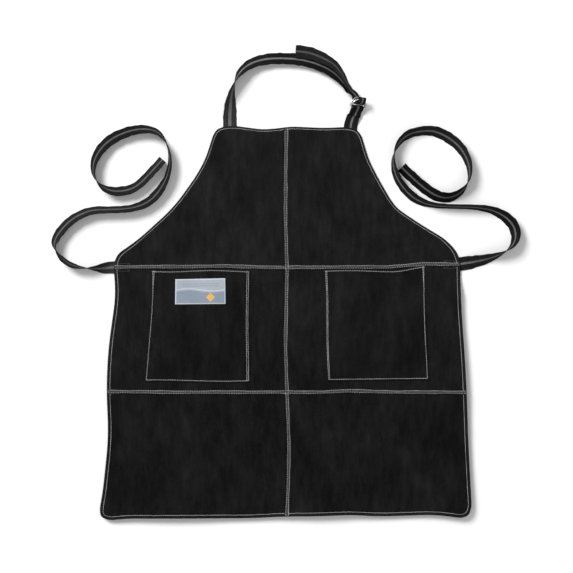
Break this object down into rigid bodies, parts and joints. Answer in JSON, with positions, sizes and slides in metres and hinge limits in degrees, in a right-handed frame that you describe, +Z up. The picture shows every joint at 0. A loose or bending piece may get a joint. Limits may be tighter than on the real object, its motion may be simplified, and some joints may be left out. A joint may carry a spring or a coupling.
{
  "type": "welding apron",
  "caption": "Split-leather bib apron lying flat, with a webbing neck loop on two D-rings, two webbing waist ties, patch pockets and sewn seams.",
  "frame": {"origin": "on the surface the apron lies on, below the middle of the apron with its neck loop", "axes": "+Z up out of the apron's front face, +Y from the skirt towards the neck loop, +X to the right as the apron is seen from its front"},
  "size_m": [0.8671, 0.8774, 0.0267],
  "materials": {
    "panel_leather": "matt split suede",
    "pocket_leather": "matt split suede",
    "woven_label": "satin weave",
    "thread": "matt twisted thread",
    "webbing": "matt ribbed weave",
    "ring_steel": "polished nickel-plated wire"
  },
  "bodies": {
    "apron": {"bib_panel_left": "panel_leather", "bib_panel_right": "panel_leather", "waist_panel_left": "panel_leather", "waist_panel_right": "panel_leather", "skirt_panel_left": "panel_leather", "skirt_panel_right": "panel_leather", "left_pocket": "pocket_leather", "right_pocket": "pocket_leather", "label": "woven_label", "left_pocket_thread": "thread", "right_pocket_thread": "thread", "label_thread": "thread", "upper_seam_thread": "thread", "lower_seam_thread": "thread", "centre_seam_thread": "thread", "hem_thread": "thread", "left_tie_tack": "thread", "right_tie_tack": "thread", "neck_strap_end": "webbing", "buckle_tab_end": "webbing", "left_tie_end": "webbing", "right_tie_end": "webbing"},
    "neck_loop": {"neck_strap": "webbing", "buckle_tab": "webbing"},
    "back_ring": {"back_d_ring": "ring_steel"},
    "front_ring": {"front_d_ring": "ring_steel"},
    "left_tie_loops": {"left_tie": "webbing"},
    "right_tie_loops": {"right_tie": "webbing"}
  },
  "joints": [
    {"name": "neck_loop_fold", "type": "hinge", "parent": "apron", "child": "neck_loop", "pos_m": [0, 0.294, 0.0007], "axis": [1, 0, 0], "range_deg": [0, 120]},
    {"name": "back_ring_swing", "type": "hinge", "parent": "neck_loop", "child": "back_ring", "pos_m": [0.1323, 0.3236, 0.0086], "axis": [0.9345, -0.0982, -0.342], "range_deg": [-2, 2]},
    {"name": "front_ring_swing", "type": "hinge", "parent": "neck_loop", "child": "front_ring", "pos_m": [0.13315, 0.322, 0.01137], "axis": [0.9345, -0.0982, -0.342], "range_deg": [-4, 4]},
    {"name": "left_tie_swing", "type": "hinge", "parent": "apron", "child": "left_tie_loops", "pos_m": [-0.366, 0.0255, 0.0125], "axis": [0, 0, 1], "range_deg": [-8, 40]},
    {"name": "right_tie_swing", "type": "hinge", "parent": "apron", "child": "right_tie_loops", "pos_m": [0.411, 0.0585, 0.0125], "axis": [0, 0, 1], "range_deg": [-40, 2]}
  ]
}
